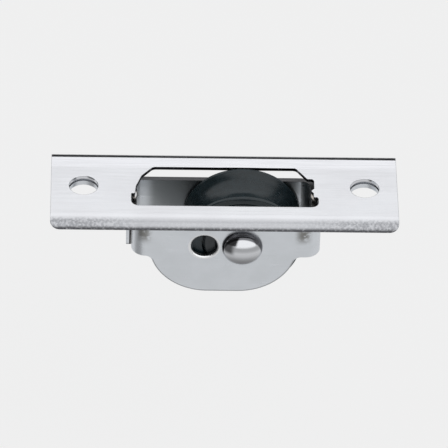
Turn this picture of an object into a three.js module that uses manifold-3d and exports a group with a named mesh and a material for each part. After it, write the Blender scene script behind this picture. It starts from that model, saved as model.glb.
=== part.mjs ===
// A single sheave block for mounting through a deck: a cover plate with rolled edges, a housing of two
// identical pressed sideplates turned end for end, and a ball-bearing sheave on a riveted axle.
// Millimetres. The origin is the centre of the seating plane, +X runs along the plate, +Z points up.
import * as THREE from "three";
import { mergeVertices } from "three/addons/utils/BufferGeometryUtils.js";
import Module from "manifold-3d";

const wasm = await Module();
wasm.setup();

// Cover plate
const coverLength = 112;
const coverWidth = 35.6;
const coverSheet = 1.4;
const coverTop = 3.8;
const coverCornerRadius = 3.2;
const screwHoleX = 45.4;
const screwHoleRadius = 4.68;

// Slot in the cover: long straight sides, cut far corners and a near ear at each end. The right end has a
// pocket and a pointed weld tongue between its cut corner and its ear, the left end runs straight.
const slotHalfWidth = 9.7;
const slotRight = {
  earX: 30.3, earTop: -4.6, endX: 28.8, endTop: -2.6, tongueX: 28.05, tongueY: -1.5, pocketX: 29.05,
  pocketLow: -0.4, pocketHigh: 4.35, cutX: 26.9, straightX: 23.3,
};
const slotLeft = { straightX: -23, cutX: -26.7, cutY: 5.2, endX: -28.5, endY: 0, foot: -28.85, earX: -30, earTop: -3.5 };

// Sideplates
const plateSheet = 1.6;
const plateFaceY = 9.5;
const plateTop = -0.3;
const bendRadius = 4.8;
const reliefDepth = 3;
const reliefMargin = 0.3;
const shoulderZ = -17.9;
const shoulderFillet = 2.5;
const outerFlangeX = 31.5;
const outerFlangeReach = 9.2;
const flangeGap = 0.1;
const innerFlangeReach = 9.6;
const flangeCornerRadius = 1.2;
const lobeRadius = 18.9;
const lobeX = 5;
const footLength = 22.5;
const footRootHalfWidth = 4.4;
const footRootLength = 1.5;
const footFlareLength = 5.5;
const footHalfWidth = 8.5;
const footFoldRadius = 1.2;

// Axle and sheave
const axleX = 6.15;
const axleZ = -13.8;
const axleHoleRadius = 4.35;
const axleRadius = 4.3;
const headRadius = 6.6;
const headSkirt = 1.1;
const headDome = 2.9;
const rearHeadRadius = 6.1;
const rearHeadDome = 2;
const sheaveRadius = 19.05;
const sheaveHalfWidth = 7.5;
const rimLand = 1.1;
const rimChamfer = 0.5;
const grooveDepth = 3.9;

// Bearing
const ballRadius = 2;
const ballCount = 12;
const ballPitchRadius = 8.4;
const ballRowY = 3.2;
const ballPlay = 0.06;
const raceLandHalfWidth = 0.9;
const raceLandHeight = 1;
const raceGrooveHalfWidth = 1.2;
const raceBoreRadius = 4.35;
const retainerRadius = 12.6;
const retainerBoreRadius = 6.95;
const retainerSeat = 5.45;
const retainerPlay = 0.5;
const sidePlay = 0.05;

// Weld beads between the end flanges and the cover
const weldSize = { x: 1.1, y: 1.9, z: 1.05 };
const weldInset = 0.9;
const weldY = -1.6;
const weldZ = 1.25;

const turnSteps = 56;
const smallTurnSteps = 32;
const bendSteps = 6;

const insideFaceY = plateFaceY - plateSheet;
const innerFlangeX = outerFlangeX - plateSheet - flangeGap;
const innerRaceGroove = ballPitchRadius - ballRadius - ballPlay;
const outerRaceGroove = ballPitchRadius + ballRadius + ballPlay;

function toSolid(geometry) {
  const bare = geometry.clone();
  bare.deleteAttribute("normal");
  bare.deleteAttribute("uv");
  const merged = mergeVertices(bare, 1e-4);
  const vertProperties = new Float32Array(merged.attributes.position.array);
  const triVerts = new Uint32Array(merged.index.array);
  return new wasm.Manifold(new wasm.Mesh({ numProp: 3, vertProperties, triVerts }));
}

function toGeometry(solid) {
  const mesh = solid.getMesh();
  const geometry = new THREE.BufferGeometry();
  geometry.setAttribute("position", new THREE.BufferAttribute(mesh.vertProperties, 3));
  geometry.setIndex(new THREE.BufferAttribute(mesh.triVerts, 1));
  const shaded = geometry.toNonIndexed();
  shaded.computeVertexNormals();
  return shaded;
}

// A box between two corners.
function block(low, high) {
  const geometry = new THREE.BoxGeometry(high[0] - low[0], high[1] - low[1], high[2] - low[2]);
  return geometry.translate((low[0] + high[0]) / 2, (low[1] + high[1]) / 2, (low[2] + high[2]) / 2);
}

// A prism standing on the XY plane between two heights.
function standing(shape, low, high) {
  const options = { depth: high - low, bevelEnabled: false, curveSegments: 6 };
  return new THREE.ExtrudeGeometry(shape, options).translate(0, 0, low);
}

// A drill through the sheet along Z or along Y.
function drillDown(x, y, radius) {
  return new THREE.CylinderGeometry(radius, radius, 20, smallTurnSteps).rotateX(Math.PI / 2).translate(x, y, 0);
}

function drillAcross(x, z, radius) {
  return new THREE.CylinderGeometry(radius, radius, 60, smallTurnSteps).translate(x, 0, z);
}

// A closed outline through corners [x, y, radius], each rounded by an arc of its own radius.
function roundedShape(corners) {
  const shape = new THREE.Shape();
  corners.forEach(([x, y, radius], i) => {
    const [beforeX, beforeY] = corners[(i + corners.length - 1) % corners.length];
    const [afterX, afterY] = corners[(i + 1) % corners.length];
    const corner = new THREE.Vector2(x, y);
    const back = new THREE.Vector2(beforeX - x, beforeY - y).normalize();
    const on = new THREE.Vector2(afterX - x, afterY - y).normalize();
    const halfAngle = Math.acos(THREE.MathUtils.clamp(back.dot(on), -1, 1)) / 2;
    const centre = back.clone().add(on).normalize().multiplyScalar(radius / Math.sin(halfAngle)).add(corner);
    const start = back.clone().multiplyScalar(radius / Math.tan(halfAngle)).add(corner).sub(centre);
    const end = on.clone().multiplyScalar(radius / Math.tan(halfAngle)).add(corner).sub(centre);
    const clockwise = back.cross(on) > 0;
    shape.absarc(centre.x, centre.y, radius, start.angle(), end.angle(), clockwise);
  });
  return shape;
}

// A folded sheet. Each station has an outer point and the direction to the sheet's inner face, both in
// the plane of the fold, and the lowest and highest place of the sheet across that plane.
function foldedSheet(stations, thickness) {
  const positions = [];
  for (const { point, inward, low, high } of stations) {
    const inner = inward.clone().multiplyScalar(thickness).add(point);
    positions.push(point.x, point.y, low, point.x, point.y, high);
    positions.push(inner.x, inner.y, high, inner.x, inner.y, low);
  }
  const index = [0, 1, 2, 0, 2, 3];
  for (let i = 0; i < stations.length - 1; i++)
    for (let side = 0; side < 4; side++) {
      const a = 4 * i + side;
      const b = 4 * i + ((side + 1) % 4);
      index.push(a, a + 4, b, b, a + 4, b + 4);
    }
  const last = 4 * (stations.length - 1);
  index.push(last, last + 2, last + 1, last, last + 3, last + 2);
  const geometry = new THREE.BufferGeometry();
  geometry.setAttribute("position", new THREE.BufferAttribute(new Float32Array(positions), 3));
  return geometry.setIndex(index);
}

// Across the cover: a quarter roll, the flat top, and a quarter roll. The blank's corners are rounded, so
// the sheet gets shorter over the last part of each roll.
function coverStations() {
  const half = coverWidth / 2;
  const stations = [];
  const cutFrom = (coverTop * Math.PI) / 2 - coverCornerRadius;
  for (const side of [1, -1])
    for (let i = 0; i <= bendSteps * 2; i++) {
      const step = side > 0 ? i : bendSteps * 2 - i;
      const angle = ((1 - step / (bendSteps * 2)) * Math.PI) / 2;
      const past = Math.max(0, coverTop * angle - cutFrom);
      const cut = coverCornerRadius - Math.sqrt(Math.max(0, coverCornerRadius ** 2 - past ** 2));
      const outward = new THREE.Vector2(side * Math.sin(angle), Math.cos(angle));
      const centre = new THREE.Vector2(side * (half - coverTop), 0);
      stations.push({
        point: outward.clone().multiplyScalar(coverTop).add(centre),
        inward: outward.clone().negate(),
        low: cut - coverLength / 2,
        high: coverLength / 2 - cut,
      });
    }
  return stations;
}

function slotOutline() {
  const right = slotRight;
  const left = slotLeft;
  return roundedShape([
    [right.earX, -slotHalfWidth, 2.4],
    [right.earX, right.earTop, 0.9],
    [right.endX, right.earTop, 0.3],
    [right.endX, right.endTop, 0.6],
    [right.tongueX, right.tongueY, 0.3],
    [right.pocketX, right.pocketLow, 0.5],
    [right.pocketX, right.pocketHigh, 1.1],
    [right.cutX, right.pocketHigh, 0.3],
    [right.straightX, slotHalfWidth, 2],
    [left.straightX, slotHalfWidth, 2],
    [left.cutX, left.cutY, 2],
    [left.endX, left.endY, 3],
    [left.foot, left.earTop, 0.3],
    [left.earX, left.earTop, 0.5],
    [left.earX, -slotHalfWidth, 2.6],
  ]);
}

function coverPlate() {
  const rolled = foldedSheet(coverStations(), coverSheet);
  const alongX = new THREE.Matrix4().makeBasis(
    new THREE.Vector3(0, 1, 0),
    new THREE.Vector3(0, 0, 1),
    new THREE.Vector3(1, 0, 0),
  );
  let solid = toSolid(rolled.applyMatrix4(alongX));
  solid = solid.subtract(toSolid(standing(slotOutline(), -1, coverTop + 1)));
  for (const x of [-screwHoleX, screwHoleX]) solid = solid.subtract(toSolid(drillDown(x, 0, screwHoleRadius)));
  return toGeometry(solid);
}

// The lower edge of the sideplate's blank, from the inner flange's free edge to the outer flange's.
function lowerEdge(from, to) {
  const filletZ = shoulderZ - shoulderFillet;
  const filletX = lobeX + Math.sqrt((lobeRadius + shoulderFillet) ** 2 - (axleZ - filletZ) ** 2);
  const slope = Math.atan2(axleZ - filletZ, filletX - lobeX);
  const corner = flangeCornerRadius;
  const edge = new THREE.Path();
  edge.moveTo(from, shoulderZ + corner);
  edge.absarc(from + corner, shoulderZ + corner, corner, Math.PI, Math.PI * 1.5, false);
  edge.absarc(-filletX, filletZ, shoulderFillet, Math.PI / 2, slope, true);
  edge.absarc(-lobeX, axleZ, lobeRadius, Math.PI + slope, Math.PI * 1.5, false);
  edge.absarc(lobeX, axleZ, lobeRadius, Math.PI * 1.5, Math.PI * 2 - slope, false);
  edge.absarc(filletX, filletZ, shoulderFillet, Math.PI - slope, Math.PI / 2, true);
  edge.absarc(to - corner, shoulderZ + corner, corner, Math.PI * 1.5, Math.PI * 2, false);
  return edge.getPoints(7);
}

// Where a place along the blank lies once both end flanges are folded back.
function foldAt(along) {
  const side = Math.sign(along);
  const flangeX = side > 0 ? outerFlangeX : innerFlangeX;
  const flat = flangeX - bendRadius;
  const past = Math.abs(along) - flat;
  if (past <= 0) return { point: new THREE.Vector2(along, -plateFaceY), inward: new THREE.Vector2(0, 1) };
  const angle = Math.min(past / bendRadius, Math.PI / 2);
  const straight = Math.max(0, past - (bendRadius * Math.PI) / 2);
  const x = side * (flat + bendRadius * Math.sin(angle));
  const y = bendRadius * (1 - Math.cos(angle)) + straight - plateFaceY;
  return { point: new THREE.Vector2(x, y), inward: new THREE.Vector2(-side * Math.sin(angle), Math.cos(angle)) };
}

function sideplateStations() {
  const bendLength = (bendRadius * Math.PI) / 2;
  const from = -(innerFlangeX - bendRadius + bendLength + innerFlangeReach);
  const to = outerFlangeX - bendRadius + bendLength + outerFlangeReach;
  const edge = lowerEdge(from, to);
  for (const [side, flangeX] of [[-1, innerFlangeX], [1, outerFlangeX]])
    for (let i = 0; i <= bendSteps; i++) {
      const along = side * (flangeX - bendRadius + (bendLength * i) / bendSteps);
      edge.push(new THREE.Vector2(along, shoulderZ));
    }
  edge.sort((a, b) => a.x - b.x);
  const distinct = edge.filter((place, i) => i === 0 || place.x - edge[i - 1].x > 1e-3);
  return distinct.map((place) => ({ ...foldAt(place.x), low: place.y, high: plateTop }));
}

// The top of the outer flange folded outwards, in section: a quarter bend from the flange to the foot.
function footFold() {
  const outer = footFoldRadius + plateSheet;
  const centreX = outerFlangeX + footFoldRadius;
  const section = new THREE.Shape();
  section.moveTo(outerFlangeX - plateSheet, -footFoldRadius - 1);
  section.lineTo(outerFlangeX, -footFoldRadius - 1);
  section.absarc(centreX, -footFoldRadius, footFoldRadius, Math.PI, Math.PI / 2, true);
  section.lineTo(centreX + 2, 0);
  section.lineTo(centreX + 2, plateSheet);
  section.absarc(centreX, -footFoldRadius, outer, Math.PI / 2, Math.PI, false);
  const options = { depth: footRootHalfWidth * 2, bevelEnabled: false, curveSegments: 6 };
  return new THREE.ExtrudeGeometry(section, options).rotateX(Math.PI / 2).translate(0, footRootHalfWidth, 0);
}

function footOutline() {
  const start = outerFlangeX + footFoldRadius;
  const end = outerFlangeX + footLength;
  return roundedShape([
    [start, -footRootHalfWidth, 0.1],
    [start + footRootLength, -footRootHalfWidth, 1],
    [start + footFlareLength, -footHalfWidth, 2],
    [end, -footHalfWidth, 3],
    [end, footHalfWidth, 3],
    [start + footFlareLength, footHalfWidth, 2],
    [start + footRootLength, footRootHalfWidth, 1],
    [start, footRootHalfWidth, 0.1],
  ]);
}

function sideplate() {
  let solid = toSolid(foldedSheet(sideplateStations(), plateSheet));
  const reliefLow = [outerFlangeX - reliefDepth, -footRootHalfWidth - reliefMargin, -footFoldRadius];
  const relief = block(reliefLow, [outerFlangeX + 1, plateFaceY + 1, 1]);
  solid = solid.subtract(toSolid(relief));
  solid = solid.add(toSolid(footFold()));
  solid = solid.add(toSolid(standing(footOutline(), 0, plateSheet)));
  solid = solid.subtract(toSolid(drillDown(screwHoleX, 0, screwHoleRadius)));
  for (const x of [-axleX, axleX]) solid = solid.subtract(toSolid(drillAcross(x, axleZ, axleHoleRadius)));
  return toGeometry(solid);
}

// A body turned about the Y axis from a closed section of [radius, y] points.
function turned(section, steps) {
  const points = section.map(([radius, y]) => new THREE.Vector2(radius, y));
  points.push(points[0].clone());
  return new THREE.LatheGeometry(points, steps);
}

// Points on an arc in a section, from one angle to another.
function arcPoints(centreRadius, centreY, radius, from, to, steps) {
  return Array.from({ length: steps + 1 }, (_, i) => {
    const angle = from + ((to - from) * i) / steps;
    return [centreRadius + radius * Math.cos(angle), centreY + radius * Math.sin(angle)];
  });
}

function sheave() {
  const mouth = sheaveHalfWidth - rimLand;
  const grooveRadius = (mouth ** 2 + grooveDepth ** 2) / (2 * grooveDepth);
  const open = Math.asin(mouth / grooveRadius);
  const centre = sheaveRadius - grooveDepth + grooveRadius;
  const recess = retainerRadius + retainerPlay;
  return turned(
    [
      [recess, -sheaveHalfWidth],
      [sheaveRadius - rimChamfer, -sheaveHalfWidth],
      [sheaveRadius, -sheaveHalfWidth + rimChamfer],
      ...arcPoints(centre, 0, grooveRadius, Math.PI + open, Math.PI - open, 8),
      [sheaveRadius, sheaveHalfWidth - rimChamfer],
      [sheaveRadius - rimChamfer, sheaveHalfWidth],
      [recess, sheaveHalfWidth],
      [recess, retainerSeat],
      [outerRaceGroove, retainerSeat],
      [outerRaceGroove, ballRowY - raceGrooveHalfWidth],
      [outerRaceGroove - raceLandHeight, raceLandHalfWidth],
      [outerRaceGroove - raceLandHeight, -raceLandHalfWidth],
      [outerRaceGroove, -ballRowY + raceGrooveHalfWidth],
      [outerRaceGroove, -retainerSeat],
      [recess, -retainerSeat],
    ],
    turnSteps,
  );
}

function innerRace() {
  const end = insideFaceY - sidePlay;
  return turned(
    [
      [raceBoreRadius, -end],
      [innerRaceGroove, -end],
      [innerRaceGroove, -ballRowY + raceGrooveHalfWidth],
      [innerRaceGroove + raceLandHeight, -raceLandHalfWidth],
      [innerRaceGroove + raceLandHeight, raceLandHalfWidth],
      [innerRaceGroove, ballRowY - raceGrooveHalfWidth],
      [innerRaceGroove, end],
      [raceBoreRadius, end],
    ],
    smallTurnSteps,
  );
}

// The ring that closes one side of the bearing, with a chamfer round its outer corner.
function ballRetainer(side) {
  const seat = retainerSeat + sidePlay;
  const face = sheaveHalfWidth - sidePlay;
  const section = [
    [retainerBoreRadius, seat],
    [retainerRadius, seat],
    [retainerRadius, face - rimChamfer],
    [retainerRadius - rimChamfer, face],
    [retainerBoreRadius, face],
  ];
  if (side > 0) return turned(section, smallTurnSteps);
  return turned(section.map(([radius, y]) => [radius, -y]).reverse(), smallTurnSteps);
}

// A shank between the plates' outer faces, a domed head in front and a lower formed head behind.
function axleRivet() {
  const front = -plateFaceY - sidePlay;
  const rear = plateFaceY + sidePlay;
  const frontDome = (headRadius ** 2 + headDome ** 2) / (2 * headDome);
  const frontOpen = Math.asin(headRadius / frontDome);
  const rearDome = (rearHeadRadius ** 2 + rearHeadDome ** 2) / (2 * rearHeadDome);
  const rearOpen = Math.asin(rearHeadRadius / rearDome);
  const down = -Math.PI / 2;
  const frontCentre = front - headSkirt - headDome + frontDome;
  const rearCentre = rear + rearHeadDome - rearDome;
  const profile = [
    ...arcPoints(0, frontCentre, frontDome, down, down + frontOpen, 8),
    [headRadius, front],
    [axleRadius, front],
    [axleRadius, rear],
    ...arcPoints(0, rearCentre, rearDome, -down - rearOpen, -down, 7),
  ];
  profile[0][0] = 0;
  profile[profile.length - 1][0] = 0;
  const points = profile.map(([radius, y]) => new THREE.Vector2(radius, y));
  return new THREE.LatheGeometry(points, smallTurnSteps);
}

// A weld bead in the corner between an end flange and the cover's tongue.
function weldBead() {
  return new THREE.SphereGeometry(1, 14, 8).scale(weldSize.x, weldSize.y, weldSize.z);
}

const finishes = {
  polished: new THREE.MeshStandardMaterial({ color: 0xd6d7da, roughness: 0.22, metalness: 1 }),
  satin: new THREE.MeshStandardMaterial({ color: 0xb4b8bd, roughness: 0.42, metalness: 1 }),
  mirror: new THREE.MeshStandardMaterial({ color: 0xd9dadc, roughness: 0.06, metalness: 1 }),
  weld: new THREE.MeshStandardMaterial({ color: 0xa2a5a8, roughness: 0.5, metalness: 1 }),
  black: new THREE.MeshStandardMaterial({ color: 0x16191b, roughness: 0.38, metalness: 0 }),
  race: new THREE.MeshStandardMaterial({ color: 0x8d9195, roughness: 0.3, metalness: 1 }),
  ball: new THREE.MeshStandardMaterial({ color: 0xe9e7df, roughness: 0.3, metalness: 0 }),
};

function addPiece(parent, name, geometry, finish) {
  const mesh = new THREE.Mesh(geometry, finish.clone());
  mesh.name = name;
  parent.add(mesh);
  return mesh;
}

const block38 = new THREE.Group();
addPiece(block38, "cover_plate", coverPlate(), finishes.polished);
addPiece(block38, "front_sideplate", sideplate(), finishes.satin);
addPiece(block38, "rear_sideplate", sideplate(), finishes.satin).rotation.z = Math.PI;
addPiece(block38, "right_end_weld", weldBead(), finishes.weld).position.set(innerFlangeX - weldInset, weldY, weldZ);
addPiece(block38, "left_end_weld", weldBead(), finishes.weld).position.set(weldInset - innerFlangeX, weldY, weldZ);

const onAxle = new THREE.Group();
onAxle.position.set(axleX, 0, axleZ);
block38.add(onAxle);
addPiece(onAxle, "axle_rivet", axleRivet(), finishes.mirror);
addPiece(onAxle, "inner_race", innerRace(), finishes.race);
addPiece(onAxle, "sheave", sheave(), finishes.black);
addPiece(onAxle, "front_ball_retainer", ballRetainer(-1), finishes.black);
addPiece(onAxle, "rear_ball_retainer", ballRetainer(1), finishes.black);

for (const [row, y] of [["front", -ballRowY], ["rear", ballRowY]])
  for (let i = 0; i < ballCount; i++) {
    const angle = ((i + (y > 0 ? 0.5 : 0)) * 2 * Math.PI) / ballCount;
    const name = `${row}_ball_${String(i + 1).padStart(2, "0")}`;
    const ball = addPiece(onAxle, name, new THREE.IcosahedronGeometry(ballRadius, 1), finishes.ball);
    ball.position.set(ballPitchRadius * Math.cos(angle), y, ballPitchRadius * Math.sin(angle));
  }

export default block38;
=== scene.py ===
import math

import bmesh
import bpy
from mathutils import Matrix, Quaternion, Vector


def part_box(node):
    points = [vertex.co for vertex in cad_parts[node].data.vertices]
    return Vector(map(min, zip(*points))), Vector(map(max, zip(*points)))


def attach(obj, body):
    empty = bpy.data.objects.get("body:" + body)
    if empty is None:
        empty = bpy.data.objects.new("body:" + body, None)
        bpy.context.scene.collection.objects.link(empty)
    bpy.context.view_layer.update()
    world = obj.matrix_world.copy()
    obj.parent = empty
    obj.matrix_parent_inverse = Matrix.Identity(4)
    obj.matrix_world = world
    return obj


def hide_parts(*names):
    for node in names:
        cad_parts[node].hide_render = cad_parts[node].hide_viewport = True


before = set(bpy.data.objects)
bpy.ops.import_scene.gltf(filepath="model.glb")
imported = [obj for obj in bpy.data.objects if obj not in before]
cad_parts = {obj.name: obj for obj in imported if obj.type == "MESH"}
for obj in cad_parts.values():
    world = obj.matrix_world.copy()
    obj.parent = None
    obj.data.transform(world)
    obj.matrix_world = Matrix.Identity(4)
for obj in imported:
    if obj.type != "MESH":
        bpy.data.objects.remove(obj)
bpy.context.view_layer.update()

mm = 0.001  # outlines are drawn in millimetres, finished meshes are in metres
quarter = math.pi / 2


def boxOf(node):  # a node's corners in millimetres
    low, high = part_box(node)
    return low / mm, high / mm


def newPiece(name, points, faces):
    mesh = bpy.data.meshes.new(name)
    mesh.from_pydata([Vector(point) * mm for point in points], [], faces)
    piece = bpy.data.objects.new(name, mesh)
    bpy.context.scene.collection.objects.link(piece)
    tidy = bmesh.new()
    tidy.from_mesh(mesh)
    bmesh.ops.remove_doubles(tidy, verts=tidy.verts, dist=1e-7)
    bmesh.ops.recalc_face_normals(tidy, faces=tidy.faces)
    tidy.to_mesh(mesh)
    tidy.free()
    return piece


def applyModifiers(piece):
    graph = bpy.context.evaluated_depsgraph_get()
    finished = bpy.data.meshes.new_from_object(piece.evaluated_get(graph))
    plain = piece.data
    piece.modifiers.clear()
    piece.data = finished
    bpy.data.meshes.remove(plain)
    finished.name = piece.name
    return piece


def carve(piece, tools, operation="DIFFERENCE"):
    for tool in tools:
        step = piece.modifiers.new("carve", "BOOLEAN")
        step.operation = operation
        step.solver = "EXACT"
        step.object = tool
    applyModifiers(piece)
    for tool in tools:
        bpy.data.objects.remove(tool)
    return piece


def joinFlatFaces(piece):  # faces in one plane become one, so that bevels run clean
    tidy = bmesh.new()
    tidy.from_mesh(piece.data)
    bmesh.ops.remove_doubles(tidy, verts=tidy.verts, dist=3e-6)
    bmesh.ops.dissolve_limit(
        tidy, angle_limit=math.radians(0.5), verts=tidy.verts, edges=tidy.edges, delimit=set()
    )
    tidy.to_mesh(piece.data)
    tidy.free()


def roundEdges(piece, width, segments=3, fromAngle=35):
    bevel = piece.modifiers.new("edges", "BEVEL")
    bevel.width = width * mm
    bevel.segments = segments
    bevel.limit_method = "ANGLE"
    bevel.angle_limit = math.radians(fromAngle)
    applyModifiers(piece)


def smooth(piece, sharpFrom=40):
    piece.data.polygons.foreach_set("use_smooth", [True] * len(piece.data.polygons))
    piece.data.set_sharp_from_angle(angle=math.radians(sharpFrom))
    even = piece.modifiers.new("normals", "WEIGHTED_NORMAL")
    even.keep_sharp = True
    applyModifiers(piece)


def settle(piece, material, slot, body, *nodes):
    piece.data.materials.clear()
    piece.data.materials.append(material)
    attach(piece, body)
    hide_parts(*nodes)


def roundedCorners(corners, steps=6, closed=True):  # each corner is x, y and the radius of its arc
    outline = []
    for place, (x, y, radius) in enumerate(corners):
        atEnd = not closed and place in (0, len(corners) - 1)
        if radius == 0 or atEnd:
            outline.append((x, y))
            continue
        before = corners[place - 1]
        after = corners[(place + 1) % len(corners)]
        corner = Vector((x, y))
        back = Vector((before[0] - x, before[1] - y)).normalized()
        onward = Vector((after[0] - x, after[1] - y)).normalized()
        half = math.acos(max(-1.0, min(1.0, back.dot(onward)))) / 2
        centre = corner + (back + onward).normalized() * (radius / math.sin(half))
        start = corner + back * (radius / math.tan(half)) - centre
        turn = (math.pi - 2 * half) * (1 if back.x * onward.y - back.y * onward.x < 0 else -1)
        for step in range(steps + 1):
            angle = turn * step / steps
            outline.append((
                centre.x + start.x * math.cos(angle) - start.y * math.sin(angle),
                centre.y + start.x * math.sin(angle) + start.y * math.cos(angle),
            ))
    return outline


def arc(centreX, centreY, radius, start, end, steps):
    angles = [start + (end - start) * step / steps for step in range(steps + 1)]
    return [(centreX + radius * math.cos(angle), centreY + radius * math.sin(angle)) for angle in angles]


def prism(name, outline, low, high):  # stands on the XY plane
    count = len(outline)
    points = [(x, y, low) for x, y in outline] + [(x, y, high) for x, y in outline]
    faces = [list(range(count)), list(range(count, 2 * count))]
    faces += [[i, (i + 1) % count, (i + 1) % count + count, i + count] for i in range(count)]
    return newPiece(name, points, faces)


def turnedAlongY(name, section, centre, steps, closed=True):  # section is radius and place along Y
    points = []
    for turn in range(steps):
        angle = 2 * math.pi * turn / steps
        for radius, along in section:
            points.append((
                centre[0] + radius * math.cos(angle), centre[1] + along, centre[2] + radius * math.sin(angle)
            ))
    count = len(section)
    faces = []
    for turn in range(steps):
        this, after = turn * count, (turn + 1) % steps * count
        for place in range(count if closed else count - 1):
            other = (place + 1) % count
            faces.append([this + place, this + other, after + other, after + place])
    if closed:
        return newPiece(name, points, faces)
    caps = [[turn * count + end for turn in range(steps)] for end in (0, count - 1)]
    return newPiece(name, points, faces + [cap for cap in caps if section[cap[0] % count][0] > 1e-6])


def foldedSheet(name, stations, thickness):  # each station: outer point, way inwards, low, high
    points, faces = [], []
    for (x, y), (inX, inY), low, high in stations:
        inner = (x + inX * thickness, y + inY * thickness)
        points += [(x, y, low), (x, y, high), (inner[0], inner[1], high), (inner[0], inner[1], low)]
    for place in range(len(stations) - 1):
        for side in range(4):
            this, other = 4 * place + side, 4 * place + (side + 1) % 4
            faces.append([this, this + 4, other + 4, other])
    last = 4 * (len(stations) - 1)
    faces += [[0, 1, 2, 3], [last, last + 1, last + 2, last + 3]]
    return newPiece(name, points, faces)


coverLow, coverHigh = boxOf("cover_plate")
plateLow, plateHigh = boxOf("front_sideplate")
sheaveLow, sheaveHigh = boxOf("sheave")
rivetLow, rivetHigh = boxOf("axle_rivet")
raceLow, raceHigh = boxOf("inner_race")
retainerLow, retainerHigh = boxOf("rear_ball_retainer")
axle = (sheaveLow + sheaveHigh) / 2
print("frame read: axle at", tuple(round(value, 2) for value in axle))


def startGroup(name, inputs, outputs):
    group = bpy.data.node_groups.new(name, "ShaderNodeTree")
    for label, kind, value in inputs:
        socket = group.interface.new_socket(label, in_out="INPUT", socket_type=kind)
        if value is not None:
            socket.default_value = value
    for label, kind in outputs:
        group.interface.new_socket(label, in_out="OUTPUT", socket_type=kind)
    return group, group.nodes.new("NodeGroupInput"), group.nodes.new("NodeGroupOutput")


def add(tree, kind, **settings):
    node = tree.nodes.new(kind)
    for key, value in settings.items():
        setattr(node, key, value)
    return node


def join(tree, source, target):
    tree.links.new(source, target)


def maths(tree, operation, first, second=None):
    node = add(tree, "ShaderNodeMath", operation=operation)
    for place, value in enumerate((first, second)):
        if isinstance(value, (int, float)):
            node.inputs[place].default_value = value
        elif value is not None:
            join(tree, value, node.inputs[place])
    return node.outputs[0]


def times(tree, first, *others):
    for other in others:
        first = maths(tree, "MULTIPLY", first, other)
    return first


def unsigned(tree, value):
    return maths(tree, "ABSOLUTE", value)


def flatLength(tree, first, second):
    return maths(tree, "SQRT", maths(tree, "ADD", times(tree, first, first), times(tree, second, second)))


def fade(tree, value, fromLow, fromHigh, toLow=0.0, toHigh=1.0, easing="SMOOTHSTEP"):
    node = add(tree, "ShaderNodeMapRange", interpolation_type=easing)
    join(tree, value, node.inputs["Value"])
    limits = {"From Min": fromLow, "From Max": fromHigh, "To Min": toLow, "To Max": toHigh}
    for label, number in limits.items():
        node.inputs[label].default_value = number
    return node.outputs["Result"]


def between(tree, value, limits):
    riseFrom, riseTo, fallFrom, fallTo = limits
    return times(tree, fade(tree, value, riseFrom, riseTo), fade(tree, value, fallFrom, fallTo, 1.0, 0.0))


def inMetres(limits, start=0.0):
    return [(start + limit) * mm for limit in limits]


def buildRolledGrain():  # long fine lines of rolled and polished sheet, with soft clouding
    group, given, gives = startGroup(
        "rolledGrain",
        [
            ("Vector", "NodeSocketVector", None),
            ("Line Scale", "NodeSocketFloat", 1500.0),
            ("Stretch", "NodeSocketFloat", 0.03),
            ("Cloud Scale", "NodeSocketFloat", 120.0),
        ],
        [("Lines", "NodeSocketFloat"), ("Clouds", "NodeSocketFloat")],
    )
    along = add(group, "ShaderNodeCombineXYZ")
    join(group, given.outputs["Stretch"], along.inputs["X"])
    along.inputs["Y"].default_value = 1.0
    along.inputs["Z"].default_value = 1.0
    stretched = add(group, "ShaderNodeVectorMath", operation="MULTIPLY")
    join(group, given.outputs["Vector"], stretched.inputs[0])
    join(group, along.outputs[0], stretched.inputs[1])
    lines = add(group, "ShaderNodeTexNoise")
    lines.inputs["Detail"].default_value = 3.0
    join(group, stretched.outputs[0], lines.inputs["Vector"])
    join(group, given.outputs["Line Scale"], lines.inputs["Scale"])
    clouds = add(group, "ShaderNodeTexNoise")
    clouds.inputs["Detail"].default_value = 4.0
    join(group, given.outputs["Vector"], clouds.inputs["Vector"])
    join(group, given.outputs["Cloud Scale"], clouds.inputs["Scale"])
    join(group, lines.outputs["Fac"], gives.inputs["Lines"])
    join(group, clouds.outputs["Fac"], gives.inputs["Clouds"])
    return group


def buildTurningRings():  # faint rings that a cutting tool leaves round the axle
    group, given, gives = startGroup(
        "turningRings",
        [
            ("Vector", "NodeSocketVector", None),
            ("Ring Scale", "NodeSocketFloat", 900.0),
            ("Unevenness", "NodeSocketFloat", 0.4),
        ],
        [("Rings", "NodeSocketFloat"), ("Speckle", "NodeSocketFloat")],
    )
    flat = add(group, "ShaderNodeSeparateXYZ")
    join(group, given.outputs["Vector"], flat.inputs[0])
    squareX = maths(group, "MULTIPLY", flat.outputs["X"], flat.outputs["X"])
    squareZ = maths(group, "MULTIPLY", flat.outputs["Z"], flat.outputs["Z"])
    radius = maths(group, "SQRT", maths(group, "ADD", squareX, squareZ))
    place = add(group, "ShaderNodeCombineXYZ")
    join(group, radius, place.inputs["X"])
    join(group, flat.outputs["Y"], place.inputs["Y"])
    rings = add(group, "ShaderNodeTexNoise")
    rings.inputs["Detail"].default_value = 2.0
    join(group, place.outputs[0], rings.inputs["Vector"])
    join(group, given.outputs["Ring Scale"], rings.inputs["Scale"])
    speckle = add(group, "ShaderNodeTexNoise")
    speckle.inputs["Scale"].default_value = 700.0
    speckle.inputs["Detail"].default_value = 5.0
    join(group, given.outputs["Vector"], speckle.inputs["Vector"])
    uneven = maths(group, "MULTIPLY", speckle.outputs["Fac"], given.outputs["Unevenness"])
    join(group, maths(group, "ADD", rings.outputs["Fac"], uneven), gives.inputs["Rings"])
    join(group, speckle.outputs["Fac"], gives.inputs["Speckle"])
    return group


rolledGrain = buildRolledGrain()
turningRings = buildTurningRings()


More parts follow.
